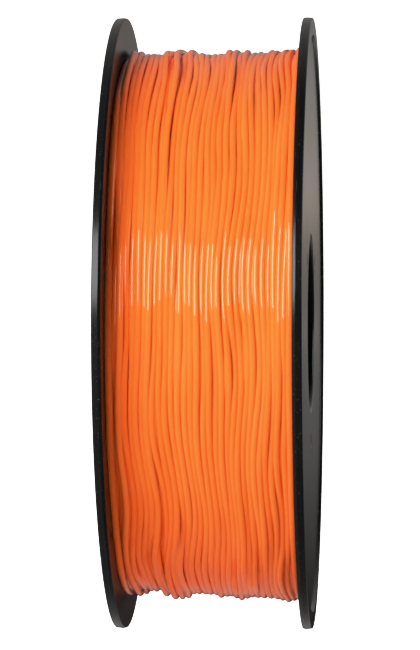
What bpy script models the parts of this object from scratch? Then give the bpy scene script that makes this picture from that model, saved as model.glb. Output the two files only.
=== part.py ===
"""Filament spool, 1 kg size, standing on the rims of its two flanges.

The spool is a knock-down design: two moulded flanges are screwed to a moulded core, and the
filament is wound on the core between them. The spool's axis is world X and the origin is the
middle of that axis, so +X points out of the right flange and Z is up. Lengths are in metres.
"""

import math

import bmesh
import bpy
from mathutils import Matrix, Vector

# ---------------------------------------------------------------- overall sizes
SPOOL_RADIUS = 0.100
SPOOL_WIDTH = 0.0639
BORE_RADIUS = 0.0285
FIT_GAP = 0.0003
TURN_STEPS = 72

# ---------------------------------------------------------------- flange
RIM_THICKNESS = 0.0031
BORDER_WIDTH = 0.0060
FIELD_RECESS = 0.0009
RIM_DRAFT = 0.00012
PARTING_SHARE = 0.34
OUTER_EDGE_RADIUS = 0.00045
INNER_EDGE_RADIUS = 0.00030
BORE_LEAD_IN = 0.0010
BARREL_GROOVE_DEPTH = 0.0008
PARKING_HOLE_RADIUS = 0.0013
PARKING_CIRCLE_RADIUS = 0.0920
PARKING_HOLE_COUNT = 4

# ---------------------------------------------------------------- core
BARREL_OUTER_RADIUS = 0.0500
BARREL_WALL = 0.0024
BARREL_SEAT_DEPTH = 0.0005
HUB_WALL = 0.0026
RIB_COUNT = 6
RIB_THICKNESS = 0.0020
RIB_HALF_LENGTH = 0.0270
BOSS_RADIUS = 0.0040
START_HOLE_RADIUS = 0.0013

# ---------------------------------------------------------------- screws
SCREW_COUNT = 3
SCREW_CIRCLE_RADIUS = 0.0390
SCREW_LENGTH = 0.0110
SCREW_SHANK_RADIUS = 0.0013
SCREW_HEAD_RADIUS = 0.0027
SCREW_HEAD_HEIGHT = 0.0016
SCREW_STEPS = 20
CROSS_WIDTH = 0.0007
CROSS_LENGTH = 0.0029
CROSS_DEPTH = 0.0010

# ---------------------------------------------------------------- winding
WINDING_RADIUS = 0.0896
WINDING_EDGE_DROP = 0.0010
WINDING_INNER_RADIUS = 0.0504

OUTER_X = SPOOL_WIDTH / 2
INNER_X = OUTER_X - RIM_THICKNESS
FIELD_X = OUTER_X - FIELD_RECESS
CORE_HALF_LENGTH = INNER_X - FIT_GAP


def clear_scene():
    for old in list(bpy.data.objects):
        bpy.data.objects.remove(old, do_unlink=True)


def make_collection(name):
    collection = bpy.data.collections.new(name)
    bpy.context.scene.collection.children.link(collection)
    return collection


def make_material(name, colour, roughness, metallic):
    material = bpy.data.materials.new(name)
    material.use_nodes = True
    surface = material.node_tree.nodes["Principled BSDF"]
    surface.inputs["Base Color"].default_value = (*colour, 1.0)
    surface.inputs["Roughness"].default_value = roughness
    surface.inputs["Metallic"].default_value = metallic
    return material


def add_object(name, mesh, collection, material=None):
    ob = bpy.data.objects.new(name, mesh)
    collection.objects.link(ob)
    if material is not None:
        mesh.materials.append(material)
    return ob


def turn_about_z(name, loop, steps, collection, material=None):
    """A closed (radius, height) loop turned about local Z. The loop runs down its outer side."""
    half_step = math.pi / steps
    mesh = bpy.data.meshes.new(name)
    bm = bmesh.new()
    corners = []
    for radius, height in loop:
        point = Vector((radius * math.cos(half_step), radius * math.sin(half_step), height))
        corners.append(bm.verts.new(point))
    for index, corner in enumerate(corners):
        bm.edges.new((corner, corners[(index + 1) % len(corners)]))
    bm.to_mesh(mesh)
    bm.free()
    ob = add_object(name, mesh, collection, material)
    screw = ob.modifiers.new("turn", "SCREW")
    screw.axis = "Z"
    screw.steps = steps
    screw.render_steps = steps
    screw.use_merge_vertices = True
    screw.merge_threshold = 0.00001
    return ob


def turned_solid(name, loop, steps, collection, material=None):
    """A turned shape as in turn_about_z, for a loop whose ends lie on the axis."""
    mesh = bpy.data.meshes.new(name)
    bm = bmesh.new()
    corners = []
    for radius, height in loop:
        corners.append(bm.verts.new((radius, 0.0, height)))
    for first, second in zip(corners[:-1], corners[1:]):
        bm.edges.new((first, second))
    bmesh.ops.spin(
        bm,
        geom=bm.verts[:] + bm.edges[:],
        axis=(0.0, 0.0, 1.0),
        cent=(0.0, 0.0, 0.0),
        angle=math.tau,
        steps=steps,
        use_merge=True,
    )
    bmesh.ops.remove_doubles(bm, verts=bm.verts[:], dist=0.00001)
    bmesh.ops.recalc_face_normals(bm, faces=bm.faces[:])
    bm.to_mesh(mesh)
    bm.free()
    return add_object(name, mesh, collection, material)


def add_cylinder(name, radius, low, high, steps, collection, top_radius=None):
    """A cylinder or cone along local Z from height low to height high."""
    mesh = bpy.data.meshes.new(name)
    bm = bmesh.new()
    bmesh.ops.create_cone(
        bm,
        cap_ends=True,
        cap_tris=False,
        segments=steps,
        radius1=radius,
        radius2=radius if top_radius is None else top_radius,
        depth=high - low,
        matrix=Matrix.Translation((0.0, 0.0, (low + high) / 2)),
    )
    bm.to_mesh(mesh)
    bm.free()
    return add_object(name, mesh, collection)


def add_box(name, size, centre, collection):
    mesh = bpy.data.meshes.new(name)
    bm = bmesh.new()
    bmesh.ops.create_cube(bm, size=1.0)
    bmesh.ops.scale(bm, vec=size, verts=bm.verts[:])
    bmesh.ops.translate(bm, vec=centre, verts=bm.verts[:])
    bm.to_mesh(mesh)
    bm.free()
    return add_object(name, mesh, collection)


def combine(ob, tool, operation):
    tool.hide_render = True
    tool.display_type = "WIRE"
    boolean = ob.modifiers.new(tool.name, "BOOLEAN")
    boolean.operation = operation
    boolean.solver = "EXACT"
    boolean.object = tool


def shade(ob):
    ob.data.shade_smooth()
    ob.data.set_sharp_from_angle(angle=math.radians(35))


def corner_arc(centre, radius, start, end, steps=2):
    """Points on an arc about centre, from angle start to angle end in degrees, both included."""
    points = []
    for index in range(steps + 1):
        angle = math.radians(start + (end - start) * index / steps)
        points.append(
            (centre[0] + radius * math.cos(angle), centre[1] + radius * math.sin(angle))
        )
    return points


def flange_loop():
    """Half section of a flange: rim, inner face with the barrel's groove, bore, field, border."""
    outer_corner = (SPOOL_RADIUS - RIM_DRAFT - OUTER_EDGE_RADIUS, OUTER_X - OUTER_EDGE_RADIUS)
    inner_corner = (SPOOL_RADIUS - RIM_DRAFT - INNER_EDGE_RADIUS, INNER_X + INNER_EDGE_RADIUS)
    parting = (SPOOL_RADIUS, INNER_X + PARTING_SHARE * RIM_THICKNESS)
    groove_outer = BARREL_OUTER_RADIUS + FIT_GAP
    groove_inner = BARREL_OUTER_RADIUS - BARREL_WALL - FIT_GAP
    groove_floor = INNER_X + BARREL_GROOVE_DEPTH
    lead_in = (BORE_RADIUS + BORE_LEAD_IN, FIELD_X - BORE_LEAD_IN)
    border_foot = SPOOL_RADIUS - BORDER_WIDTH
    loop = corner_arc(outer_corner, OUTER_EDGE_RADIUS, 90, 0)
    loop.append(parting)
    loop += corner_arc(inner_corner, INNER_EDGE_RADIUS, 0, -90)
    loop.append((groove_outer, INNER_X))
    loop.append((groove_outer, groove_floor))
    loop.append((groove_inner, groove_floor))
    loop.append((groove_inner, INNER_X))
    loop.append((BORE_RADIUS, INNER_X))
    loop += corner_arc(lead_in, BORE_LEAD_IN, 180, 90, 3)
    loop.append((border_foot, FIELD_X))
    loop.append((border_foot + 0.00015, OUTER_X - 0.0002))
    loop.append((border_foot + 0.00035, OUTER_X))
    return loop


def circle_angles(count, first_degrees):
    return [math.radians(first_degrees) + math.tau * index / count for index in range(count)]


def build_flange(name, facing, parts, cutters, material):
    """A flange with its outer face along local +Z, turned to face world +X or -X."""
    flange = turn_about_z(name, flange_loop(), TURN_STEPS, parts, material)
    flange.rotation_euler = (0.0, math.pi / 2, facing)
    tools = []
    for index, angle in enumerate(circle_angles(PARKING_HOLE_COUNT, 45)):
        tool = add_cylinder(
            f"{name}_parking_cut_{index}", PARKING_HOLE_RADIUS, 0.027, 0.033, 16, cutters
        )
        tools.append((tool, PARKING_CIRCLE_RADIUS, angle))
    for index, angle in enumerate(circle_angles(SCREW_COUNT, 0)):
        through = add_cylinder(
            f"{name}_screw_cut_{index}", SCREW_SHANK_RADIUS + 0.0005, 0.027, 0.033, 20, cutters
        )
        seat = add_cylinder(
            f"{name}_seat_cut_{index}",
            SCREW_SHANK_RADIUS + 0.0003,
            FIELD_X - SCREW_HEAD_HEIGHT - 0.0002,
            FIELD_X + 0.0004,
            20,
            cutters,
            SCREW_HEAD_RADIUS + 0.0009,
        )
        tools.append((through, SCREW_CIRCLE_RADIUS, angle))
        tools.append((seat, SCREW_CIRCLE_RADIUS, angle))
    for tool, radius, angle in tools:
        tool.parent = flange
        tool.location = (radius * math.cos(angle), radius * math.sin(angle), 0.0)
        combine(flange, tool, "DIFFERENCE")
    shade(flange)
    return flange


def tube_loop(outer, inner, half_length):
    chamfer = 0.0003
    return [
        (outer - chamfer, half_length),
        (outer, half_length - chamfer),
        (outer, chamfer - half_length),
        (outer - chamfer, -half_length),
        (inner, -half_length),
        (inner, half_length),
    ]


def build_core(parts, cutters, material):
    """Barrel, hub tube, ribs and screw bosses, moulded in one piece along local Z."""
    barrel_inner = BARREL_OUTER_RADIUS - BARREL_WALL
    hub_outer = BORE_RADIUS + HUB_WALL
    core = turn_about_z(
        "spool_core",
        tube_loop(BARREL_OUTER_RADIUS, barrel_inner, INNER_X + BARREL_SEAT_DEPTH),
        TURN_STEPS,
        parts,
        material,
    )
    core.rotation_euler = (0.0, math.pi / 2, 0.0)
    hub = turn_about_z(
        "hub_tube_solid",
        tube_loop(hub_outer, BORE_RADIUS, CORE_HALF_LENGTH),
        TURN_STEPS,
        cutters,
    )
    hub.parent = core
    rib_start = hub_outer - 0.0008
    rib_end = barrel_inner + 0.0008
    rib_size = (rib_end - rib_start, RIB_THICKNESS, 2 * RIB_HALF_LENGTH)
    for index, angle in enumerate(circle_angles(RIB_COUNT, 0)):
        rib = add_box(
            f"rib_solid_{index}", rib_size, ((rib_start + rib_end) / 2, 0.0, 0.0), cutters
        )
        rib.parent = core
        rib.rotation_euler = (0.0, 0.0, angle)
        combine(core, rib, "UNION")
    combine(core, hub, "UNION")
    for index, angle in enumerate(circle_angles(SCREW_COUNT, 0)):
        place = (SCREW_CIRCLE_RADIUS * math.cos(angle), SCREW_CIRCLE_RADIUS * math.sin(angle), 0.0)
        boss = add_cylinder(
            f"boss_solid_{index}", BOSS_RADIUS, -CORE_HALF_LENGTH, CORE_HALF_LENGTH, 24, cutters
        )
        pilot_depth = SCREW_LENGTH + 0.002
        boss.parent = core
        boss.location = place
        combine(core, boss, "UNION")
        for label, side in (("right", 1), ("left", -1)):
            ends = (CORE_HALF_LENGTH - pilot_depth, CORE_HALF_LENGTH + 0.002)
            low = min(side * ends[0], side * ends[1])
            high = max(side * ends[0], side * ends[1])
            pilot = add_cylinder(
                f"pilot_cut_{label}_{index}", SCREW_SHANK_RADIUS + FIT_GAP, low, high, 16, cutters
            )
            pilot.parent = core
            pilot.location = place
            combine(core, pilot, "DIFFERENCE")
    start_hole = add_cylinder("start_hole_cut", START_HOLE_RADIUS, 0.046, 0.052, 16, cutters)
    start_hole.parent = core
    start_hole.rotation_euler = (0.0, math.pi / 2, 0.0)
    start_hole.location = (0.0, 0.0, 0.0020 - CORE_HALF_LENGTH + START_HOLE_RADIUS)
    combine(core, start_hole, "DIFFERENCE")
    shade(core)
    return core


def build_winding(parts, material):
    """The wound filament as one plain ring, a little lower at its edges than in its middle."""
    half = CORE_HALF_LENGTH
    edge = WINDING_RADIUS - WINDING_EDGE_DROP
    loop = [
        (edge - 0.0006, half),
        (edge, half - 0.0008),
        (WINDING_RADIUS, half * 0.6),
        (WINDING_RADIUS, -half * 0.6),
        (edge, 0.0008 - half),
        (edge - 0.0006, -half),
        (WINDING_INNER_RADIUS, -half),
        (WINDING_INNER_RADIUS, half),
    ]
    winding = turn_about_z("wound_filament", loop, TURN_STEPS, parts, material)
    winding.rotation_euler = (0.0, math.pi / 2, 0.0)
    shade(winding)
    return winding


def screw_loop():
    """Countersunk self-tapping screw from its tip to the top of its head, along local Z."""
    tip = -SCREW_LENGTH
    neck = -SCREW_HEAD_HEIGHT
    return [
        (0.0, tip),
        (0.0004, tip),
        (SCREW_SHANK_RADIUS, tip + 0.0016),
        (SCREW_SHANK_RADIUS, neck),
        (SCREW_HEAD_RADIUS, -0.0002),
        (SCREW_HEAD_RADIUS, 0.0),
        (0.0, 0.0),
    ]


def build_screws(flange, side_name, parts, cutters, material):
    """The screws of one flange, with their heads just under the flange's recessed field."""
    for index, angle in enumerate(circle_angles(SCREW_COUNT, 0)):
        name = f"{side_name}_flange_screw_{index + 1}"
        screw = turned_solid(name, screw_loop(), SCREW_STEPS, parts, material)
        screw.parent = flange
        screw.location = (
            SCREW_CIRCLE_RADIUS * math.cos(angle),
            SCREW_CIRCLE_RADIUS * math.sin(angle),
            FIELD_X - 0.0001,
        )
        for turn in (0, 1):
            size = (CROSS_LENGTH, CROSS_WIDTH, 2 * CROSS_DEPTH)
            if turn:
                size = (CROSS_WIDTH, CROSS_LENGTH, 2 * CROSS_DEPTH)
            slot = add_box(f"{name}_slot_{turn}", size, (0.0, 0.0, 0.0), cutters)
            slot.parent = screw
            combine(screw, slot, "DIFFERENCE")
        shade(screw)


def build_spool():
    clear_scene()
    parts = make_collection("filament_spool")
    cutters = make_collection("cutters")
    black_gloss = make_material("black_moulded_plastic", (0.012, 0.012, 0.013), 0.22, 0.0)
    black_core = make_material("black_core_plastic", (0.014, 0.014, 0.015), 0.40, 0.0)
    steel = make_material("screw_steel", (0.30, 0.30, 0.31), 0.30, 1.0)
    orange = make_material("orange_filament", (0.93, 0.20, 0.02), 0.28, 0.0)

    right = build_flange("right_flange", 0.0, parts, cutters, black_gloss)
    left = build_flange("left_flange", math.pi, parts, cutters, black_gloss)
    build_core(parts, cutters, black_core)
    build_winding(parts, orange)
    build_screws(right, "right", parts, cutters, steel)
    build_screws(left, "left", parts, cutters, steel)
    bpy.context.view_layer.update()


build_spool()
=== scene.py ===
"""A full spool of orange 1.75 mm filament, standing on the rims of its two black flanges."""

import math

import bmesh
import bpy
import numpy as np
from mathutils import Matrix, Vector


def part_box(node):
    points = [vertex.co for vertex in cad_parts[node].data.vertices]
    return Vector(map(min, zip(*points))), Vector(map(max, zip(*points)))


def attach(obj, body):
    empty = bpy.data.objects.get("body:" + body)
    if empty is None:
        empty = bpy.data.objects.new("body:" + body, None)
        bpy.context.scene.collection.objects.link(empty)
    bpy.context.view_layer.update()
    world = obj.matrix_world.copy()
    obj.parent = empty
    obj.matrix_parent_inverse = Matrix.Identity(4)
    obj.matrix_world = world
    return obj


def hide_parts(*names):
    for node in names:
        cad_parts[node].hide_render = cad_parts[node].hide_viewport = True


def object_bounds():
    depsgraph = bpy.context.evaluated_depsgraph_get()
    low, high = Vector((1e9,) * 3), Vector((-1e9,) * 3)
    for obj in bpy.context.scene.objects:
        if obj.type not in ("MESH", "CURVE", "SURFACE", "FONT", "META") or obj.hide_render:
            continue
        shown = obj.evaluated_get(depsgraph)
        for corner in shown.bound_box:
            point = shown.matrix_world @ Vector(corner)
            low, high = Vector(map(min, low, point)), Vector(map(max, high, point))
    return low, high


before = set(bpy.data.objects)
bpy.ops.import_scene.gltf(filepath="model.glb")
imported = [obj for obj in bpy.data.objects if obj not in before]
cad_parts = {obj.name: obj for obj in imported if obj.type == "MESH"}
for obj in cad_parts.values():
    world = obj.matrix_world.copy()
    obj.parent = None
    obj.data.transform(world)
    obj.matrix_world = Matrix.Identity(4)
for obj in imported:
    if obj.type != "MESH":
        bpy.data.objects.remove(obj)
CAD_LOW, CAD_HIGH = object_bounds()
scene = bpy.context.scene

# Sizes in metres, from the CAD's boxes and its driving dimensions. The spool's axis is world X.
RIGHT_LOW, RIGHT_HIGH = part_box("right_flange")
OUTER_X = RIGHT_HIGH[0]
INNER_X = RIGHT_LOW[0]
FLOOR_Z = CAD_LOW[2]
BORE_R = 0.0285
FIELD_X = OUTER_X - 0.0009
BORDER_W = 0.0060
STRAND_D = 0.00175
PI = math.pi


# ------------------------------------------------------------------ camera
CAM_AZIMUTH = math.radians(3.553)
CAM_ELEVATION = math.radians(0.8)
CAM_DISTANCE = 1.2470
CAM_LENS_PX = 3803.0
SENSOR_MM = 36.0
LONG_SIDE_PX = 650.0
AIM_LEFT_PX = 6.43
AIM_DOWN_PX = 1.88


def add_camera():
    """The camera stands in front of the spool, a little to its right, and is almost level."""
    back = Vector(
        (
            math.sin(CAM_AZIMUTH) * math.cos(CAM_ELEVATION),
            -math.cos(CAM_AZIMUTH) * math.cos(CAM_ELEVATION),
            math.sin(CAM_ELEVATION),
        )
    )
    right = Vector((math.cos(CAM_AZIMUTH), math.sin(CAM_AZIMUTH), 0.0))
    up = back.cross(right)
    metres_per_px = CAM_DISTANCE / CAM_LENS_PX
    aim = -right * AIM_LEFT_PX * metres_per_px - up * AIM_DOWN_PX * metres_per_px
    data = bpy.data.cameras.new("camera")
    data.lens = CAM_LENS_PX / LONG_SIDE_PX * SENSOR_MM
    data.sensor_width = SENSOR_MM
    data.clip_start = 0.05
    data.clip_end = 60.0
    cam = bpy.data.objects.new("camera", data)
    scene.collection.objects.link(cam)
    cam.location = back * CAM_DISTANCE
    cam.rotation_mode = "QUATERNION"
    cam.rotation_quaternion = (aim - cam.location).to_track_quat("-Z", "Y")
    scene.camera = cam


add_camera()


# ------------------------------------------------------------------ small node helpers
def new_material(name):
    material = bpy.data.materials.new(name)
    material.use_nodes = True
    tree = material.node_tree
    surface = tree.nodes["Principled BSDF"]
    return material, tree, surface


def node(tree, kind, **values):
    made = tree.nodes.new(kind)
    for key, value in values.items():
        setattr(made, key, value)
    return made


def wire(tree, source, target):
    tree.links.new(source, target)


def math_node(tree, operation, first, second=None, clamp=False):
    made = node(tree, "ShaderNodeMath", operation=operation, use_clamp=clamp)
    for index, value in enumerate((first, second)):
        if value is None:
            continue
        if isinstance(value, (int, float)):
            made.inputs[index].default_value = value
        else:
            wire(tree, value, made.inputs[index])
    return made.outputs[0]


def ramp(tree, factor, stops):
    made = node(tree, "ShaderNodeValToRGB")
    elements = made.color_ramp.elements
    while len(elements) < len(stops):
        elements.new(0.5)
    for element, (place, colour) in zip(elements, stops):
        element.position = place
        if isinstance(colour, (int, float)):
            colour = (colour, colour, colour)
        element.color = (*colour, 1.0)
    wire(tree, factor, made.inputs[0])
    return made.outputs[0]


def noise(tree, vector, scale, detail=3.0, rough=0.5):
    made = node(tree, "ShaderNodeTexNoise")
    made.inputs["Scale"].default_value = scale
    made.inputs["Detail"].default_value = detail
    made.inputs["Roughness"].default_value = rough
    if vector is not None:
        wire(tree, vector, made.inputs["Vector"])
    return made.outputs["Fac"]


def mix_colour(tree, factor, first, second, blend="MIX"):
    made = node(tree, "ShaderNodeMix", data_type="RGBA", blend_type=blend)
    for socket, value in ((0, factor), (6, first), (7, second)):
        if isinstance(value, (int, float)):
            made.inputs[socket].default_value = value
        elif isinstance(value, tuple):
            made.inputs[socket].default_value = (*value, 1.0)
        else:
            wire(tree, value, made.inputs[socket])
    return made.outputs[2]


def bump(tree, height, distance, strength, surface, socket="Normal"):
    made = node(tree, "ShaderNodeBump")
    made.inputs["Strength"].default_value = strength
    made.inputs["Distance"].default_value = distance
    wire(tree, height, made.inputs["Height"])
    wire(tree, made.outputs[0], surface.inputs[socket])


# ------------------------------------------------------------------ materials
def soft_normal(tree, coords, share):
    """The normal turned part of the way to the spool's radius.

    Light spreads inside a translucent strand, so its sides are nearly as bright as its crown.
    """
    split = node(tree, "ShaderNodeSeparateXYZ")
    wire(tree, coords, split.inputs[0])
    radius = node(tree, "ShaderNodeCombineXYZ")
    wire(tree, split.outputs[1], radius.inputs[1])
    wire(tree, split.outputs[2], radius.inputs[2])
    outward = node(tree, "ShaderNodeVectorMath", operation="NORMALIZE")
    wire(tree, radius.outputs[0], outward.inputs[0])
    mixed = node(tree, "ShaderNodeMix", data_type="VECTOR")
    mixed.inputs[0].default_value = share
    wire(tree, node(tree, "ShaderNodeNewGeometry").outputs["Normal"], mixed.inputs[4])
    wire(tree, outward.outputs[0], mixed.inputs[5])
    made = node(tree, "ShaderNodeVectorMath", operation="NORMALIZE")
    wire(tree, mixed.outputs[1], made.inputs[0])
    return made.outputs[0]


def filament_material(name):
    """Slightly translucent orange plastic. Each strand has its own tint, from an attribute."""
    material, tree, surface = new_material(name)
    coords = node(tree, "ShaderNodeTexCoord").outputs["Object"]
    tint = node(tree, "ShaderNodeAttribute", attribute_name="strand_tint").outputs["Fac"]
    along = node(tree, "ShaderNodeAttribute", attribute_name="along").outputs["Fac"]
    colour = ramp(
        tree,
        tint,
        [
            (0.0, (0.975, 0.150, 0.020)),
            (0.5, (0.982, 0.166, 0.025)),
            (1.0, (0.988, 0.182, 0.030)),
        ],
    )
    cloud = noise(tree, coords, 55.0, 3.0)
    patches = ramp(tree, cloud, [(0.35, 0.0), (0.7, 0.35)])
    colour = mix_colour(tree, patches, colour, (0.99, 0.190, 0.030))
    wire(tree, colour, surface.inputs["Base Color"])
    surface.inputs["Subsurface Weight"].default_value = 0.10
    surface.inputs["Subsurface Radius"].default_value = (0.5, 0.3, 0.1)
    surface.inputs["Subsurface Scale"].default_value = 0.0006
    surface.inputs["Roughness"].default_value = 0.5
    surface.inputs["Specular IOR Level"].default_value = 0.0
    wire(tree, soft_normal(tree, coords, 0.5), surface.inputs["Normal"])
    surface.inputs["Coat Weight"].default_value = 1.0
    surface.inputs["Coat IOR"].default_value = 1.52
    surface.inputs["Coat Roughness"].default_value = 0.03
    # Fine draw lines along the strand, which break up the mirror streaks a little.
    streak_space = node(tree, "ShaderNodeCombineXYZ")
    wire(tree, along, streak_space.inputs[0])
    wire(tree, tint, streak_space.inputs[1])
    drawn = noise(tree, streak_space.outputs[0], 70.0, 2.0)
    fine = noise(tree, coords, 900.0, 2.0)
    height = math_node(tree, "ADD", math_node(tree, "MULTIPLY", drawn, 0.7), fine)
    bump(tree, height, 0.000003, 0.15, surface, "Coat Normal")
    return material


def black_plastic(name, gloss):
    """Moulded black polystyrene with a cloudy gloss, a fine grain and specks of dust."""
    material, tree, surface = new_material(name)
    coords = node(tree, "ShaderNodeTexCoord").outputs["Object"]
    fine = noise(tree, coords, 1400.0, 2.0)
    cloud = noise(tree, coords, 38.0, 4.0, 0.6)
    specks = noise(tree, coords, 2600.0, 1.0)
    dust = ramp(tree, specks, [(0.715, 0.0), (0.77, 1.0)])
    dust = math_node(tree, "MULTIPLY", dust, ramp(tree, cloud, [(0.40, 0.15), (0.65, 1.0)]))
    base = ramp(tree, cloud, [(0.3, (0.0030, 0.0030, 0.0031)), (0.75, (0.0048, 0.0046, 0.0045))])
    colour = mix_colour(tree, math_node(tree, "MULTIPLY", dust, 0.5), base, (0.30, 0.29, 0.28))
    wire(tree, colour, surface.inputs["Base Color"])
    surface.inputs["IOR"].default_value = 1.46
    rough = math_node(tree, "ADD", gloss - 0.05, math_node(tree, "MULTIPLY", cloud, 0.10))
    rough = math_node(tree, "ADD", rough, math_node(tree, "MULTIPLY", dust, 0.25), True)
    place = node(tree, "ShaderNodeSeparateXYZ")
    wire(tree, coords, place.inputs[0])
    # The flanges' inner faces are more matt. The ramp reads ten times the distance from the middle.
    depth = math_node(tree, "MULTIPLY", math_node(tree, "ABSOLUTE", place.outputs[0]), 10.0)
    matt_to = INNER_X * 10.0
    matt = ramp(tree, depth, [(matt_to + 0.0005, 1.0), (matt_to + 0.0015, 0.0)])
    rough = math_node(tree, "ADD", rough, math_node(tree, "MULTIPLY", matt, 0.16))
    wire(tree, rough, surface.inputs["Roughness"])
    height = math_node(tree, "ADD", math_node(tree, "MULTIPLY", cloud, 2.0), fine)
    bump(tree, height, 0.00002, 0.30, surface)
    return material


def steel_material(name):
    """Plated screw steel, unevenly bright."""
    material, tree, surface = new_material(name)
    coords = node(tree, "ShaderNodeTexCoord").outputs["Object"]
    cloud = noise(tree, coords, 700.0, 3.0)
    wire(
        tree,
        ramp(tree, cloud, [(0.3, (0.20, 0.20, 0.21)), (0.7, (0.36, 0.36, 0.37))]),
        surface.inputs["Base Color"],
    )
    surface.inputs["Metallic"].default_value = 1.0
    wire(tree, ramp(tree, cloud, [(0.3, 0.22), (0.7, 0.42)]), surface.inputs["Roughness"])
    bump(tree, cloud, 0.00004, 0.4, surface)
    return material


ORANGE = filament_material("orange_filament")
FLANGE_BLACK = black_plastic("flange_black", 0.21)
CORE_BLACK = black_plastic("core_black", 0.36)
STEEL = steel_material("screw_steel")


# ------------------------------------------------------------------ the winding
# Lengths are in metres. A turn is laid in STEPS steps, and the last four layers are laid in all.
# The seed was picked out of 300 by a score against the photographed winding's outline and for
# few open gaps.
STEPS = 216
LAYERS = 4.0
SEED = 264
BASE_R = 0.08335
WINDING_R = 0.09
LIMIT_X = INNER_X - 0.0002 - STRAND_D / 2
PITCH = STRAND_D * 1.015
TURNS_PER_LAYER = 2 * LIMIT_X / PITCH
TURNS = int(LAYERS * TURNS_PER_LAYER)
SUPPORT_TURNS = int(2.6 * TURNS_PER_LAYER)
STEP_LENGTH = 2 * PI * WINDING_R / STEPS
FIRST_ANGLE = PI * 1.02

# The disorder of the lay: a shared waviness, spare room beside a turn, straying of a single
# turn, and a few places where the strand leaves its neighbour.
WARP = 0.00075
WARP_MODES = 24
WARP_WIDTH = 0.036
SPARE = 0.00008
SPARE_LEAST = -0.00004
SPARE_WAVE = 0.120
STRAY = 0.00016
STRAY_WAVE = 0.080
HOPS = 9

# How the strand behaves: how fast the guide turns back, how strongly a turn is drawn to the
# guide, how it slides off the strands below, and how stiff it is.
TURN_BACK = 0.35 * STEPS
GUIDE_PULL = 0.16
SLIDE_ROUNDS = 8
SLIDE_STEP = 0.00008
STIFF_STEPS = 4.5
STIFF_REACH = 24
TIGHTEN_ROUNDS = 160
SINK = 0.00012


def smooth_noise(rng, count, wavelength):
    """Band-limited noise with unit deviation, sampled once a step, by filtering in frequency."""
    white = rng.standard_normal(count)
    spectrum = np.fft.rfft(white)
    cycles = np.fft.rfftfreq(count) * wavelength / STEP_LENGTH
    spectrum *= np.exp(-0.5 * (cycles * 1.3) ** 2)
    made = np.fft.irfft(spectrum, count)
    return made / made.std()


def blur(values, sigma):
    """Gaussian smoothing of a line of values, the two ends held."""
    reach = int(3 * sigma)
    kernel = np.exp(-0.5 * (np.arange(-reach, reach + 1) / sigma) ** 2)
    padded = np.concatenate((np.full(reach, values[0]), values, np.full(reach, values[-1])))
    return np.convolve(padded, kernel / kernel.sum(), mode="valid")


def ease_in(value, start, width):
    """A smooth rise from 0 to 1 over the width after the start."""
    share = np.clip((value - start) / width, 0.0, 1.0)
    return share * share * (3.0 - 2.0 * share)


def guide_path():
    """Where the winding machine's guide is at each step: to and fro between the flanges."""
    turn = np.arange(TURNS * STEPS) / STEPS
    phase = (turn - TURNS) / TURNS_PER_LAYER
    fold = np.abs(phase % 2.0 - 1.0)
    return (2.0 * fold - 1.0) * LIMIT_X


def hop_path(rng):
    """The few stretches where the strand leaves its neighbour and crosses the turns around it."""
    at = np.arange(TURNS * STEPS) / STEPS * 2 * PI
    offset = np.zeros(len(at))
    for _ in range(HOPS):
        start = (TURNS - 1.0 - rng.random() * 1.5 * TURNS_PER_LAYER) * 2 * PI
        length = 0.7 + 3.5 * rng.random()
        ease = 0.45 + 0.5 * rng.random()
        reach = rng.choice([-1.0, 1.0]) * STRAND_D * (0.7 + 0.7 * rng.random())
        offset += reach * (ease_in(at, start, ease) - ease_in(at, start + length, ease))
    return offset


def base_radius(x, angle):
    """The buried layers' surface: thicker towards the right flange, most of all underneath."""
    share = x / LIMIT_X
    upward = np.sin(angle)
    lean = 0.00085 - 0.00070 * upward
    dip = (0.0002 + 0.0002 * upward) * np.exp(-((share / 0.45) ** 2))
    edge = 0.0007 * np.exp(-(((x + LIMIT_X) / 0.004) ** 2))
    return BASE_R - 0.0003 * upward + lean * share - dip - edge


def make_warp(rng):
    """A gentle sideways waviness over the whole winding, which neighbouring turns share."""
    around = rng.integers(2, 12, WARP_MODES)
    across = rng.normal(0.0, 2 * PI / WARP_WIDTH, WARP_MODES)
    phases = rng.random(WARP_MODES) * 2 * PI
    drift = rng.normal(0.0, 0.035, WARP_MODES)
    size = rng.normal(0.0, 1.0, WARP_MODES) / (1.0 + 0.10 * around)
    size *= WARP / math.sqrt(0.5 * (size**2).sum())

    def warp(x, angle, turn):
        waves = np.zeros(len(x))
        for m, k, phase, slow, height in zip(around, across, phases, drift, size):
            waves += height * np.sin(m * angle + k * x + phase + slow * turn)
        return waves * np.clip((LIMIT_X - np.abs(x)) / 0.004, 0.0, 1.0)

    return warp


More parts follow.
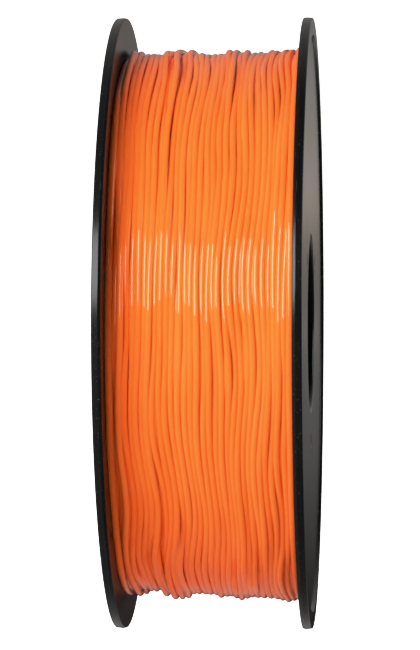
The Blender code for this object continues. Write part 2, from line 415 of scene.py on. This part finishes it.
def wind():
    """Lays the strand turn by turn. Each turn rests on the ones below it and is pulled tight."""
    rng = np.random.default_rng(SEED)
    count = TURNS * STEPS
    guide = guide_path()
    way = blur(np.sign(np.gradient(guide)), TURN_BACK).reshape(TURNS, STEPS)
    guide = blur(guide, TURN_BACK).reshape(TURNS, STEPS)
    spare = SPARE * smooth_noise(rng, count, SPARE_WAVE)
    spare = np.maximum(spare, SPARE_LEAST).reshape(TURNS, STEPS)
    stray = STRAY * smooth_noise(rng, count, STRAY_WAVE)
    stray = (stray + hop_path(rng)).reshape(TURNS, STEPS)
    angle = np.arange(STEPS) / STEPS * 2 * PI + FIRST_ANGLE
    warp = make_warp(rng)
    lay = np.zeros((TURNS, STEPS))
    xs = np.zeros((TURNS, STEPS))
    rs = np.zeros((TURNS, STEPS))
    half_step = math.cos(2 * PI / STEPS)
    column = np.arange(STEPS)

    def support(x, first, last, reach):
        """Height and sideways slope under a strand at x, over the turns first to last."""
        floor = base_radius(x, angle)
        if last <= first:
            return floor, np.zeros(STEPS)
        gap = x[None, :] - xs[first:last]
        near = np.clip(reach**2 - gap**2, 0.0, None)
        rise = np.sqrt(near)
        top = np.where(near > 0, rs[first:last] + rise, 0.0)
        best = top.argmax(axis=0)
        height = top[best, column]
        slope = -gap[best, column] / np.maximum(rise[best, column], 0.3 * STRAND_D)
        on_floor = floor >= height
        return np.where(on_floor, floor, height), np.where(on_floor, 0.0, slope)

    for n in range(TURNS):
        first = max(0, n - SUPPORT_TURNS)
        turn = n + column / STEPS
        aim = guide[n] + warp(guide[n], angle, turn)
        if n == 0:
            x = aim
            before = x[:1] - warp(x, angle, turn)[:1]
        else:
            step = way[n] * (STRAND_D + spare[n])
            bend = warp(lay[n - 1] + step, angle, turn) - warp(lay[n - 1], angle, turn - 1)
            beside = lay[n - 1] + step + bend
            x = beside + GUIDE_PULL * (aim - beside)
        for _ in range(SLIDE_ROUNDS):
            height, slope = support(x, first, n, STRAND_D)
            x = x - np.clip(slope, -1.0, 1.0) * SLIDE_STEP
        x = np.clip(x, -LIMIT_X, LIMIT_X)
        # The strand's stiffness smooths its own bends, but not the shared waviness.
        wave = warp(x, angle, turn)
        flat = x - wave
        ahead = flat[:STIFF_REACH] + way[n, -1] * PITCH
        whole = blur(np.concatenate((before, flat, ahead)), STIFF_STEPS)
        flat = whole[len(before) : len(before) + STEPS]
        before = flat[-STIFF_REACH:]
        x = flat + wave
        lay[n] = x
        x = np.clip(x + stray[n], -LIMIT_X, LIMIT_X)
        height, slope = support(x, first, n, 0.90 * STRAND_D)
        xs[n] = x
        rs[n] = tighten(height, rs[n - 1, -1] if n else None, half_step)
    # The strand's end is tucked under its neighbours.
    rs[-1] -= STRAND_D * ease_in(column, STEPS - 18, 16)
    return xs, rs


def tighten(height, start, half_step):
    """A tight strand over the given heights: straight between the places where it rests."""
    bound = 1.0 / height
    u = bound.copy()
    first = bound[0] if start is None else min(1.0 / start, bound[0] * 1.02)
    for _ in range(TIGHTEN_ROUNDS):
        left = np.concatenate(([first], u[:-1]))
        right = np.concatenate((u[1:], [u[-1]]))
        u = np.minimum(bound, (left + right) / (2 * half_step))
        u[0] = min(u[0], first)
    r = 1.0 / u
    if start is not None:
        r[0] = 0.5 * (r[0] + start)
    for _ in range(3):
        inner = 0.25 * r[:-2] + 0.5 * r[1:-1] + 0.25 * r[2:]
        r = np.concatenate((r[:1], np.maximum(inner, height[1:-1] - SINK), r[-1:]))
    return r


def tube_mesh(name, xs, rs, sides, first_turn, width):
    """One tube along the strand through the given turns. Its radius is width times a strand."""
    x = xs.reshape(-1)
    r = rs.reshape(-1)
    count = len(x)
    angle = (np.arange(count) % STEPS) / STEPS * 2 * PI + FIRST_ANGLE
    radial = np.stack([np.zeros(count), -np.cos(angle), np.sin(angle)], axis=1)
    centre = np.stack([x, -r * np.cos(angle), r * np.sin(angle)], axis=1)
    tangent = np.gradient(centre, axis=0)
    tangent /= np.linalg.norm(tangent, axis=1)[:, None]
    out = radial - (radial * tangent).sum(axis=1)[:, None] * tangent
    out /= np.linalg.norm(out, axis=1)[:, None]
    side = np.cross(tangent, out)
    around = np.arange(sides) / sides * 2 * PI
    ring = (
        np.cos(around)[None, :, None] * out[:, None, :]
        + np.sin(around)[None, :, None] * side[:, None, :]
    )
    points = (centre[:, None, :] + ring * STRAND_D * width).reshape(-1, 3)
    index = np.arange(count - 1)[:, None] * sides
    here = np.arange(sides)[None, :]
    after = (here + 1) % sides
    quads = np.stack(
        [index + here, index + after, index + sides + after, index + sides + here], axis=2
    ).reshape(-1, 4)
    mesh = bpy.data.meshes.new(name)
    caps = [list(range(sides))[::-1], list(range((count - 1) * sides, count * sides))]
    mesh.from_pydata(points.tolist(), [], quads.tolist() + caps)
    turn = np.repeat(first_turn + np.arange(count) / STEPS, sides)
    tints = np.random.default_rng(5).random(TURNS + 2)
    wander = np.interp(turn * 1.7 % (TURNS + 1), np.arange(TURNS + 2), tints)
    tint = mesh.attributes.new("strand_tint", "FLOAT", "POINT")
    tint.data.foreach_set("value", wander.astype(np.float32))
    along = mesh.attributes.new("along", "FLOAT", "POINT")
    along.data.foreach_set("value", (turn * 2 * PI * WINDING_R).astype(np.float32))
    mesh.shade_smooth()
    mesh.update()
    return mesh


def link(name, mesh, material):
    ob = bpy.data.objects.new(name, mesh)
    scene.collection.objects.link(ob)
    if material is not None:
        mesh.materials.append(material)
    return ob


def build_winding():
    """The layers that can be seen. Deeper ones are wider and raised, so that no gap looks deep."""
    xs, rs = wind()
    top_start = max(0, TURNS - int(2.0 * TURNS_PER_LAYER))
    mid = (top_start + TURNS) // 2
    under_start = max(0, top_start - int(1.2 * TURNS_PER_LAYER))
    groups = (
        ("filament_under_layers", under_start, top_start, 6, 0.70, 0.15),
        ("filament_upper_layer", top_start, mid, 14, 0.68, 0.36),
        ("filament_outer_layer", mid, TURNS, 14, 0.60, 0.0),
    )
    pieces = []
    for name, first, last, sides, width, lift in groups:
        raised = rs[first:last] + lift * STRAND_D
        mesh = tube_mesh(name, xs[first:last], raised, sides, first, width)
        pieces.append(link(name, mesh, ORANGE))
    return pieces


# ------------------------------------------------------------------ turned and bored parts
def turned(name, loop, segments, material, side=1, rough_ring=None):
    """A closed (radius, x) loop turned about the X axis. rough_ring is made slightly uneven."""
    rng = np.random.default_rng(7)
    count = len(loop)
    angles = np.arange(segments) / segments * 2 * PI
    radii = np.tile([r for r, _ in loop], (segments, 1))
    if rough_ring is not None:
        uneven = np.convolve(rng.random(segments + 4), np.ones(5) / 5, mode="valid")
        radii[:, rough_ring] += ((uneven - 0.62) * 0.00022)[:, None]
    points = np.zeros((segments, count, 3))
    points[:, :, 0] = side * np.array([x for _, x in loop])[None, :]
    points[:, :, 1] = -radii * np.cos(angles)[:, None]
    points[:, :, 2] = radii * np.sin(angles)[:, None]
    faces = []
    for s in range(segments):
        t = (s + 1) % segments
        for k in range(count):
            m = (k + 1) % count
            faces.append((s * count + k, s * count + m, t * count + m, t * count + k))
    mesh = bpy.data.meshes.new(name)
    mesh.from_pydata(points.reshape(-1, 3).tolist(), [], faces)
    bm = bmesh.new()
    bm.from_mesh(mesh)
    bmesh.ops.recalc_face_normals(bm, faces=bm.faces[:])
    bm.to_mesh(mesh)
    bm.free()
    return link(name, mesh, material)


def arc(centre, radius, start, end, steps):
    """Points of an arc in the (radius, x) plane, angles in degrees, both ends included."""
    places = [math.radians(start + (end - start) * i / steps) for i in range(steps + 1)]
    return [(centre[0] + radius * math.cos(a), centre[1] + radius * math.sin(a)) for a in places]


def cone_tool(radius, end_radius, low, high, y, z, steps=32):
    """A cutter along X from low to high, at y and z."""
    mesh = bpy.data.meshes.new("tool")
    bm = bmesh.new()
    turn = Matrix.Rotation(PI / 2, 4, "Y")
    bmesh.ops.create_cone(
        bm,
        cap_ends=True,
        segments=steps,
        radius1=radius,
        radius2=end_radius,
        depth=high - low,
        matrix=Matrix.Translation(((low + high) / 2, y, z)) @ turn,
    )
    bm.to_mesh(mesh)
    bm.free()
    return link("tool", mesh, None)


def box_tool(size, radius, angle):
    """A block whose middle is at the radius and angle about the X axis."""
    mesh = bpy.data.meshes.new("tool")
    bm = bmesh.new()
    bmesh.ops.create_cube(bm, size=1.0)
    bmesh.ops.scale(bm, vec=size, verts=bm.verts[:])
    bmesh.ops.translate(bm, vec=(0.0, 0.0, radius), verts=bm.verts[:])
    bmesh.ops.rotate(bm, matrix=Matrix.Rotation(angle, 3, "X"), verts=bm.verts[:])
    bm.to_mesh(mesh)
    bm.free()
    return link("tool", mesh, None)


def combine(ob, tools, operation):
    """Joins the tools to the object or cuts them out of it, and removes them."""
    for tool in tools:
        boolean = ob.modifiers.new("cut", "BOOLEAN")
        boolean.operation = operation
        boolean.solver = "EXACT"
        boolean.object = tool
    seen = ob.evaluated_get(bpy.context.evaluated_depsgraph_get())
    mesh = bpy.data.meshes.new_from_object(seen)
    ob.modifiers.clear()
    ob.data = mesh
    for tool in tools:
        bpy.data.objects.remove(tool, do_unlink=True)


def shade(ob):
    """Smooth shading, with sharp creases."""
    ob.data.shade_smooth()
    ob.data.set_sharp_from_angle(angle=math.radians(32))


def stand_for(ob, cad_node):
    """The piece takes the place of a CAD node."""
    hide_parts(cad_node)
    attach(ob, "root")


# ------------------------------------------------------------------ flanges
SPOOL_R = -FLOOR_Z
DRAFT = 0.00012
OUTER_EDGE_R = 0.00045
INNER_EDGE_R = 0.00030
BARREL_R = 0.0500
BARREL_WALL = 0.0024
GROOVE_DEPTH = 0.0008
LEAD_IN = 0.0010
GAP = 0.0003
SOFT_EDGE = 0.0002
FLANGE_SEGMENTS = 360

# The mould's parting line: a fine ridge between two low shoulders, as (height, place along X).
PARTING_X = INNER_X + 0.34 * (OUTER_X - INNER_X)
PARTING_RIDGE = (
    (-0.00003, 0.00022),
    (-0.00001, 0.00008),
    (0.00005, 0.00003),
    (0.00005, -0.00003),
    (-0.00001, -0.00008),
    (-0.00003, -0.00022),
)
RIDGE_TOP = [8, 9]

# Holes through a flange, and the wider mouths in its outer face.
PARKING_CIRCLE_R = 0.0920
PARKING_HOLE_R = 0.0013
PARKING_MOUTH_R = 0.0018
SCREW_CIRCLE_R = 0.0390
SCREW_HOLE_R = 0.0018
SCREW_SEAT_R = 0.0016
SCREW_MOUTH_R = 0.0036
SCREW_SEAT_DEPTH = 0.0018


def flange_profile():
    """Rim with its parting line, inner face with the barrel's groove, bore, field and border."""
    loop = arc((SPOOL_R - DRAFT - OUTER_EDGE_R, OUTER_X - OUTER_EDGE_R), OUTER_EDGE_R, 90, 0, 5)
    loop += [(SPOOL_R + height, PARTING_X + place) for height, place in PARTING_RIDGE]
    loop += arc((SPOOL_R - DRAFT - INNER_EDGE_R, INNER_X + INNER_EDGE_R), INNER_EDGE_R, 0, -90, 4)
    groove_floor = INNER_X + GROOVE_DEPTH
    loop += [
        (BARREL_R + GAP, INNER_X),
        (BARREL_R + GAP, groove_floor),
        (BARREL_R - BARREL_WALL - GAP, groove_floor),
        (BARREL_R - BARREL_WALL - GAP, INNER_X),
    ]
    loop += arc((BORE_R + SOFT_EDGE, INNER_X + SOFT_EDGE), SOFT_EDGE, 270, 180, 2)
    loop += arc((BORE_R + LEAD_IN, FIELD_X - LEAD_IN), LEAD_IN, 180, 90, 6)
    foot = SPOOL_R - BORDER_W
    loop += arc((foot - SOFT_EDGE, FIELD_X + SOFT_EDGE), SOFT_EDGE, -90, -10, 3)
    loop += arc((foot + 2 * SOFT_EDGE, OUTER_X - SOFT_EDGE), SOFT_EDGE, 170, 90, 3)
    return loop


def place_on_circle(radius, degrees):
    """y and z of a point on a circle about the axis, counted from the bottom towards the back."""
    angle = math.radians(degrees)
    return radius * math.sin(angle), -radius * math.cos(angle)


def mouth(side, inner_radius, outer_radius, below, above, y, z, steps=32):
    """A cone that opens out through a flange's outer face, on the given side of the spool."""
    radii = (inner_radius, outer_radius) if side > 0 else (outer_radius, inner_radius)
    ends = sorted((side * (FIELD_X - below), side * (FIELD_X + above)))
    return cone_tool(*radii, *ends, y, z, steps)


def build_flange(name, side):
    """A flange on the left (side -1) or right (side 1), with parking holes and screw holes."""
    loop = flange_profile()
    flange = turned(name, loop, FLANGE_SEGMENTS, FLANGE_BLACK, side, rough_ring=RIDGE_TOP)
    low, high = sorted((side * (INNER_X - 0.002), side * (OUTER_X + 0.002)))
    tools = []
    for quarter in range(4):
        y, z = place_on_circle(PARKING_CIRCLE_R, 45 + 90 * quarter)
        tools.append(cone_tool(PARKING_HOLE_R, PARKING_HOLE_R, low, high, y, z))
        tools.append(mouth(side, PARKING_HOLE_R, PARKING_MOUTH_R, 0.0003, 0.0002, y, z))
    for third in range(3):
        y, z = place_on_circle(SCREW_CIRCLE_R, 120 * third)
        tools.append(cone_tool(SCREW_HOLE_R, SCREW_HOLE_R, low, high, y, z))
        tools.append(
            mouth(side, SCREW_SEAT_R, SCREW_MOUTH_R, SCREW_SEAT_DEPTH, 0.0004, y, z, 40)
        )
    combine(flange, tools, "DIFFERENCE")
    shade(flange)
    # Flat faces keep flat shading right up to their rounded edges.
    even = flange.modifiers.new("even_faces", "WEIGHTED_NORMAL")
    even.keep_sharp = True
    return flange


# ------------------------------------------------------------------ core
HUB_WALL = 0.0026
RIB_LENGTH = 0.054
RIB_THICKNESS = 0.0020
RIB_OVERLAP = 0.0016
BOSS_R = 0.0040
PILOT_R = 0.0016
PILOT_LENGTH = 0.015
PILOT_DEPTH = 0.013
CORE_SEGMENTS = 240


def tube_profile(outer, inner, half):
    """A tube's section with bevelled edges, from -half to half along X."""
    edge = 0.0003
    return [
        (outer - edge, half),
        (outer, half - edge),
        (outer, edge - half),
        (outer - edge, -half),
        (inner + edge, -half),
        (inner, edge - half),
        (inner, half - edge),
        (inner + edge, half),
    ]


def build_core():
    """Barrel, hub tube, ribs and screw bosses, moulded in one piece."""
    core_half = INNER_X - GAP
    inner = BARREL_R - BARREL_WALL
    hub_outer = BORE_R + HUB_WALL
    barrel = tube_profile(BARREL_R, inner, INNER_X + 0.0005)
    core = turned("core", barrel, CORE_SEGMENTS, CORE_BLACK)
    tools = []
    for sixth in range(6):
        size = (RIB_LENGTH, RIB_THICKNESS, inner - hub_outer + RIB_OVERLAP)
        tools.append(box_tool(size, (inner + hub_outer) / 2, PI + sixth * PI / 3))
    hub = tube_profile(hub_outer, BORE_R, core_half)
    tools.append(turned("tool", hub, CORE_SEGMENTS, None))
    for third in range(3):
        y, z = place_on_circle(SCREW_CIRCLE_R, 120 * third)
        tools.append(cone_tool(BOSS_R, BOSS_R, -core_half, core_half, y, z))
    combine(core, tools, "UNION")
    pilots = []
    for third in range(3):
        y, z = place_on_circle(SCREW_CIRCLE_R, 120 * third)
        for low in (-core_half - PILOT_LENGTH + PILOT_DEPTH, core_half - PILOT_DEPTH):
            pilots.append(cone_tool(PILOT_R, PILOT_R, low, low + PILOT_LENGTH, y, z, 20))
    combine(core, pilots, "DIFFERENCE")
    shade(core)
    return core


# ------------------------------------------------------------------ the spool
RING_OUTER_R = 0.0800
RING_INNER_R = 0.0504

strand_pieces = build_winding()
ring_profile = tube_profile(RING_OUTER_R, RING_INNER_R, INNER_X - 0.0004)
inner_ring = turned("filament_inner_layers", ring_profile, 120, ORANGE)
shade(inner_ring)
for piece in strand_pieces + [inner_ring]:
    stand_for(piece, "wound_filament")
stand_for(build_flange("flange_right", 1), "right_flange")
stand_for(build_flange("flange_left", -1), "left_flange")
stand_for(build_core(), "spool_core")

for side in ("left", "right"):
    for number in (1, 2, 3):
        screw = bpy.data.objects[f"{side}_flange_screw_{number}"]
        screw.material_slots[0].material = STEEL
        soft = screw.modifiers.new("soft_edges", "BEVEL")
        soft.width = 0.00006
        soft.segments = 2
        soft.angle_limit = math.radians(40)


# ------------------------------------------------------------------ stage and light
# The brightness that the picture shows as white.
WHITE = 2.0
FLOOR_HALF = 14.0
FLOOR_GLOW = 0.30

# Softboxes: direction from the spool in degrees, distance, width and height in metres, and
# brightness. Only the first two are mirrored by the plastic.
KEY_SOFTBOX = (-27.0, 20.4, 1.6, 1.16, 0.74, 6.4)
RIGHT_SOFTBOX = (90, 20, 2.0, 1.6, 1.1, 2.4)
LEFT_FILL = (-35, 25, 2.4, 1.4, 1.2, 7.8)
BACK_LEFT_FILL = (-135, 28, 1.9, 1.2, 1.2, 1.1)
BACK_RIGHT_FILL = (135, 28, 1.9, 1.2, 1.2, 1.1)


def add_floor():
    """A white floor. The camera sees it as plain white, and it gives a soft light from below."""
    corners = [
        (x * FLOOR_HALF, y * FLOOR_HALF, FLOOR_Z) for x, y in ((-1, -1), (1, -1), (1, 1), (-1, 1))
    ]
    mesh = bpy.data.meshes.new("floor")
    mesh.from_pydata(corners, [], [(0, 1, 2, 3)])
    material, tree, surface = new_material("floor_white")
    surface.inputs["Base Color"].default_value = (0.55, 0.55, 0.55, 1.0)
    surface.inputs["Roughness"].default_value = 0.9
    surface.inputs["Specular IOR Level"].default_value = 0.1
    surface.inputs["Emission Color"].default_value = (1.0, 1.0, 1.0, 1.0)
    seen = node(tree, "ShaderNodeLightPath").outputs["Is Camera Ray"]
    glow = math_node(tree, "ADD", math_node(tree, "MULTIPLY", seen, WHITE), FLOOR_GLOW)
    wire(tree, glow, surface.inputs["Emission Strength"])
    ob = link("floor", mesh, material)
    ob.visible_glossy = False


def add_softbox(name, azimuth, elevation, distance, width, height, radiance):
    """A softbox facing the spool, placed by its direction from the spool."""
    a, e = math.radians(azimuth), math.radians(elevation)
    place = distance * Vector((math.sin(a) * math.cos(e), -math.cos(a) * math.cos(e), math.sin(e)))
    data = bpy.data.lights.new(name, "AREA")
    data.shape = "RECTANGLE"
    data.size = width
    data.size_y = height
    data.energy = radiance * PI * width * height
    ob = bpy.data.objects.new(name, data)
    scene.collection.objects.link(ob)
    ob.location = place
    ob.rotation_euler = (-place).to_track_quat("-Z", "Y").to_euler()
    return ob


def add_world():
    """A white studio to the camera. What lights the spool is a dim room with a lit backdrop."""
    world = bpy.data.worlds.new("world")
    scene.world = world
    world.use_nodes = True
    tree = world.node_tree
    tree.nodes.clear()
    out = node(tree, "ShaderNodeOutputWorld")
    seen = node(tree, "ShaderNodeBackground")
    seen.inputs["Color"].default_value = (1.0, 1.0, 1.0, 1.0)
    seen.inputs["Strength"].default_value = WHITE
    lit = node(tree, "ShaderNodeBackground")
    coords = node(tree, "ShaderNodeTexCoord").outputs["Generated"]
    split = node(tree, "ShaderNodeSeparateXYZ")
    wire(tree, coords, split.inputs[0])
    across, along, upward = split.outputs

    def part(source, stops):
        """A ramp over one component of the direction, from -1 at 0 to 1 at 1."""
        placed = math_node(tree, "ADD", math_node(tree, "MULTIPLY", source, 0.5), 0.5)
        return ramp(tree, placed, stops)

    # The backdrop from straight down to straight up: place, brightness and tint. Its middle is
    # what a flange's flat faces mirror. Those stops were worked out from the brightness down the
    # right flange's outer face in the photograph, so this isn't a plain studio light.
    warm, plain = (1.0, 0.87, 0.75), (1.0, 0.95, 0.91)
    backdrop = part(
        upward,
        [
            (place, tuple(level * share for share in tint))
            for place, level, tint in (
                (0.0000, 0.120, plain),
                (0.1400, 0.220, plain),
                (0.3100, 0.380, plain),
                (0.4200, 0.022, plain),
                (0.4570, 0.018, plain),
                (0.4637, 0.065, plain),
                (0.4703, 0.105, plain),
                (0.4769, 0.160, plain),
                (0.4834, 0.165, plain),
                (0.4861, 0.210, plain),
                (0.4887, 0.190, plain),
                (0.4900, 0.090, plain),
                (0.4913, 0.020, plain),
                (0.4926, 0.430, plain),
                (0.4939, 0.050, warm),
                (0.4952, 0.200, warm),
                (0.5060, 0.300, warm),
                (0.5074, 0.460, warm),
                (0.5115, 0.470, warm),
                (0.5195, 0.330, warm),
                (0.5229, 0.350, plain),
                (0.5310, 0.200, plain),
                (0.6000, 0.270, plain),
            )
        ],
    )
    # A soft glow on the backdrop, to the right of the spool.
    aside = part(across, [(0.555, 0.0), (0.62, 1.0), (0.80, 0.2)])
    band = part(upward, [(0.50, 0.0), (0.515, 0.6), (0.53, 0.35), (0.56, 0.1)])
    glow = math_node(tree, "MULTIPLY", aside, band)
    backdrop = mix_colour(tree, glow, backdrop, (1.0, 0.97, 0.93), "ADD")
    # The room in front of the spool, lighter on the left and low down.
    above = part(upward, [(0.485, 0.0), (0.52, 1.0)])
    left = part(across, [(0.25, 1.0), (0.60, 0.0)])
    low = math_node(tree, "ADD", 0.05, math_node(tree, "MULTIPLY", left, 0.32))
    front = node(tree, "ShaderNodeMix", data_type="FLOAT")
    wire(tree, above, front.inputs[0])
    wire(tree, low, front.inputs[2])
    high = math_node(tree, "ADD", 0.02, math_node(tree, "MULTIPLY", left, 0.20))
    wire(tree, high, front.inputs[3])
    behind = part(along, [(0.50, 0.0), (0.80, 1.0)])
    wire(tree, mix_colour(tree, behind, front.outputs[0], backdrop), lit.inputs["Color"])
    lit.inputs["Strength"].default_value = 1.0
    mixer = node(tree, "ShaderNodeMixShader")
    wire(tree, node(tree, "ShaderNodeLightPath").outputs["Is Camera Ray"], mixer.inputs[0])
    wire(tree, lit.outputs[0], mixer.inputs[1])
    wire(tree, seen.outputs[0], mixer.inputs[2])
    wire(tree, mixer.outputs[0], out.inputs["Surface"])


def set_tone():
    """Bright tones roll off softly before they reach white."""
    view = scene.view_settings
    tones = (
        (0.10, 0.20),
        (0.175, 0.38),
        (0.25, 0.58),
        (0.35, 0.77),
        (0.45, 0.88),
        (0.60, 0.935),
        (0.75, 0.96),
    )
    view.view_transform = "Standard"
    view.look = "None"
    view.use_curve_mapping = True
    mapping = view.curve_mapping
    mapping.use_clip = False
    mapping.white_level = (WHITE, WHITE, WHITE)
    for place, tone in tones:
        mapping.curves[3].points.new(place, tone)
    mapping.update()


add_floor()
add_world()
add_softbox("key_softbox", *KEY_SOFTBOX)
add_softbox("left_fill", *LEFT_FILL).visible_glossy = False
add_softbox("right_side_softbox", *RIGHT_SOFTBOX)
add_softbox("back_left_softbox", *BACK_LEFT_FILL).visible_glossy = False
add_softbox("back_right_softbox", *BACK_RIGHT_FILL).visible_glossy = False
set_tone()
# Light bounces many times between strands, which is what keeps the grooves orange.
scene.cycles.diffuse_bounces = 24
scene.cycles.max_bounces = 28
scene.cycles.filter_width = 1.6
